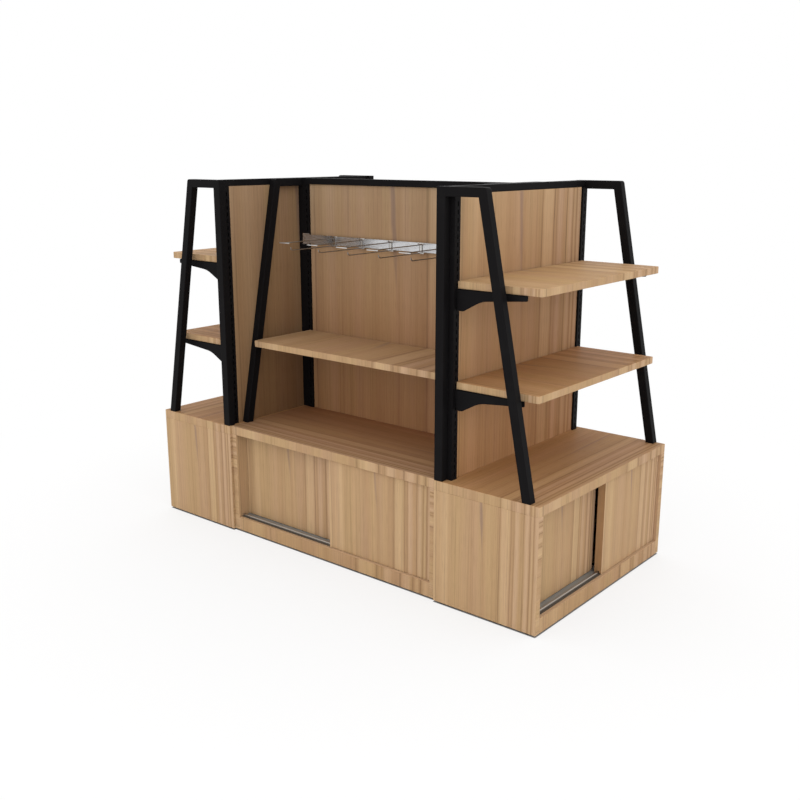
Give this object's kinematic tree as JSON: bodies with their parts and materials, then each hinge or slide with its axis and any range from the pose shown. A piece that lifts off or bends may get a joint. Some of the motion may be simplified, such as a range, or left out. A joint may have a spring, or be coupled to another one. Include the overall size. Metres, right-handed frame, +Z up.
{
  "type": "island shop shelving unit",
  "caption": "Island shop shelving open on all sides: wooden cabinets with by-pass sliding doors under black A-shaped steel frames, slotted uprights, bracketed shelves and hooks.",
  "frame": {"origin": "on the floor, under the middle of the island", "axes": "+X along the island towards the right end unit, -Y towards the front shelves, +Z up"},
  "size_m": [1.89, 0.9, 1.427],
  "materials": {
    "wood_laminate": "satin striped laminate",
    "black_steel": "satin black powder coat",
    "track_aluminium": "satin anodised",
    "bright_steel": "bright plated",
    "glide_plastic": "matte"
  },
  "bodies": {
    "island": {"front_top": "wood_laminate", "front_sides": "wood_laminate", "front_base": "wood_laminate", "front_back": "wood_laminate", "front_tracks": "track_aluminium", "rear_top": "wood_laminate", "rear_sides": "wood_laminate", "rear_base": "wood_laminate", "rear_back": "wood_laminate", "rear_tracks": "track_aluminium", "left_top": "wood_laminate", "left_sides": "wood_laminate", "left_base": "wood_laminate", "left_back": "wood_laminate", "left_tracks": "track_aluminium", "right_top": "wood_laminate", "right_sides": "wood_laminate", "right_base": "wood_laminate", "right_back": "wood_laminate", "right_tracks": "track_aluminium", "left_frame_front": "black_steel", "left_frame_rear": "black_steel", "right_frame_front": "black_steel", "right_frame_rear": "black_steel", "mid_frame_left": "black_steel", "mid_frame_right": "black_steel", "left_uprights": "black_steel", "right_uprights": "black_steel", "mid_uprights": "black_steel", "left_rail": "black_steel", "right_rail": "black_steel", "mid_rail": "black_steel", "left_panel": "wood_laminate", "right_panel": "wood_laminate", "mid_panel": "wood_laminate", "left_shelf_low": "wood_laminate", "left_shelf_high": "wood_laminate", "right_shelf_low": "wood_laminate", "right_shelf_high": "wood_laminate", "front_shelf": "wood_laminate", "rear_shelf": "wood_laminate", "left_brackets": "black_steel", "right_brackets": "black_steel", "mid_brackets": "black_steel", "front_hook_bar": "bright_steel", "rear_hook_bar": "bright_steel", "front_hooks": "bright_steel", "rear_hooks": "bright_steel", "glides": "glide_plastic"},
    "front_door_outer": {"front_door_outer": "wood_laminate"},
    "front_door_inner": {"front_door_inner": "wood_laminate"},
    "rear_door_outer": {"rear_door_outer": "wood_laminate"},
    "rear_door_inner": {"rear_door_inner": "wood_laminate"},
    "left_door_outer": {"left_door_outer": "wood_laminate"},
    "left_door_inner": {"left_door_inner": "wood_laminate"},
    "right_door_outer": {"right_door_outer": "wood_laminate"},
    "right_door_inner": {"right_door_inner": "wood_laminate"}
  },
  "joints": [
    {"name": "front_outer_slide", "type": "slide", "parent": "island", "child": "front_door_outer", "axis": [1, 0, 0], "range_m": [-0.507, 0]},
    {"name": "front_inner_slide", "type": "slide", "parent": "island", "child": "front_door_inner", "axis": [1, 0, 0], "range_m": [0, 0.481]},
    {"name": "rear_outer_slide", "type": "slide", "parent": "island", "child": "rear_door_outer", "axis": [-1, 0, 0], "range_m": [-0.507, 0]},
    {"name": "rear_inner_slide", "type": "slide", "parent": "island", "child": "rear_door_inner", "axis": [-1, 0, 0], "range_m": [0, 0.481]},
    {"name": "left_outer_slide", "type": "slide", "parent": "island", "child": "left_door_outer", "axis": [0, -1, 0], "range_m": [-0.432, 0]},
    {"name": "left_inner_slide", "type": "slide", "parent": "island", "child": "left_door_inner", "axis": [0, -1, 0], "range_m": [0, 0.406]},
    {"name": "right_outer_slide", "type": "slide", "parent": "island", "child": "right_door_outer", "axis": [0, 1, 0], "range_m": [-0.432, 0]},
    {"name": "right_inner_slide", "type": "slide", "parent": "island", "child": "right_door_inner", "axis": [0, 1, 0], "range_m": [0, 0.406]}
  ]
}
